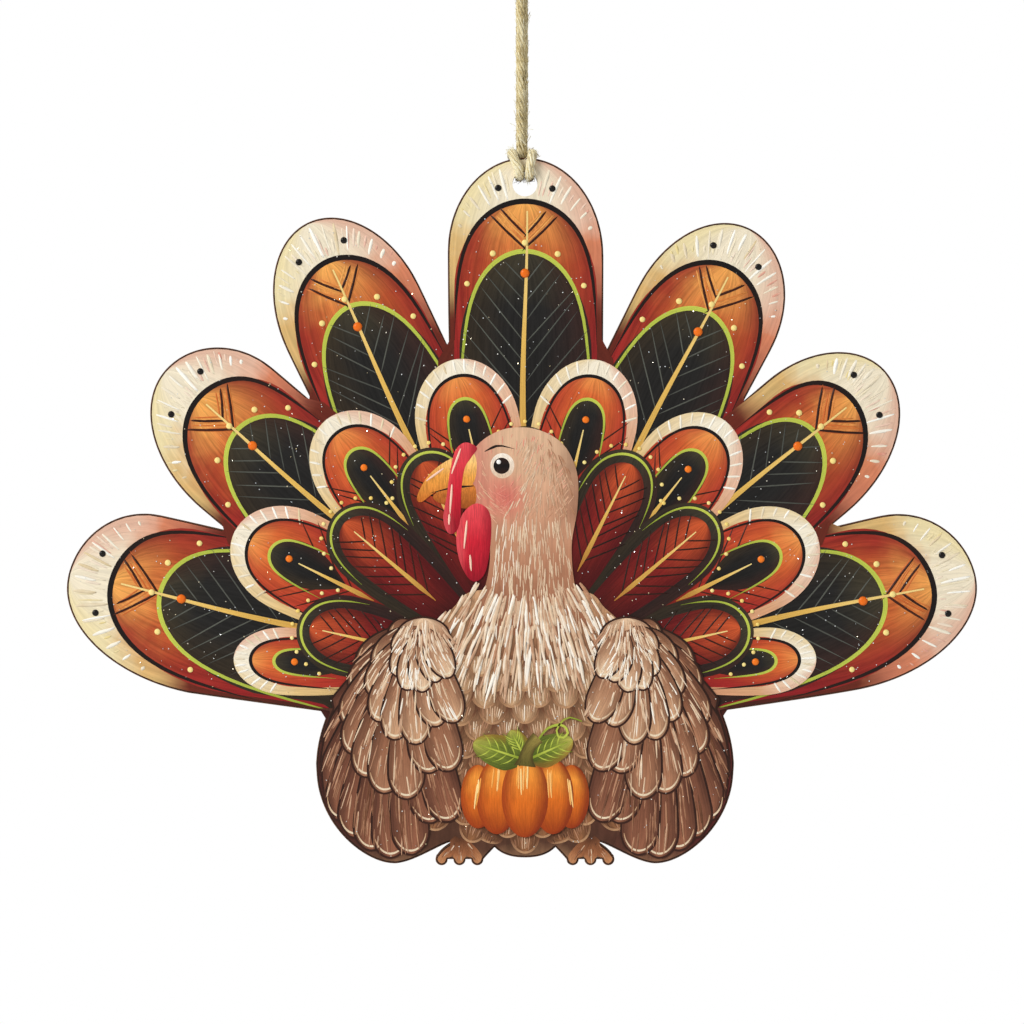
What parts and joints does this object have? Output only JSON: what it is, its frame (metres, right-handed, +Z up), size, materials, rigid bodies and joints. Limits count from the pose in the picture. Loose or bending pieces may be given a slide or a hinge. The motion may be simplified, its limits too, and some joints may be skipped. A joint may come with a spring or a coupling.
{
  "type": "hanging turkey ornament",
  "caption": "Flat wooden turkey ornament with a fanned tail and a painted front, hung by a twine loop hitched through a hole in its crown feather.",
  "frame": {"origin": "the point inside the top of the twine loop, under its knot, where a hook or twig bears", "axes": "+Z up along the hang, +X to the right across the tail seen from the front, +Y towards the back, so the painted front faces -Y"},
  "size_m": [0.1403, 0.0122, 0.1679],
  "materials": {
    "front_print": "paint film under a satin varnish",
    "veneer": "sanded birch veneer with laser-browned edges",
    "core": "cross-grain core ply with laser-browned edges",
    "twine": "twisted jute twine"
  },
  "bodies": {
    "hanging_loop": {"cord_knot": "twine", "cord_leg_front": "twine", "cord_leg_back": "twine"},
    "hitch": {"cord_hitch": "twine"},
    "board": {"front_print": "front_print", "face_veneer": "veneer", "core_ply": "core", "back_veneer": "veneer"}
  },
  "joints": [
    {"name": "cord_twist", "type": "hinge", "parent": "hanging_loop", "child": "hitch", "pos_m": [0, 0, -0.03973], "axis": [0, 0, 1], "range_deg": [-180, 180]},
    {"name": "board_sway", "type": "hinge", "parent": "hitch", "child": "board", "pos_m": [0, 0, -0.0484], "axis": [0, 1, 0], "range_deg": [-15, 15]}
  ]
}
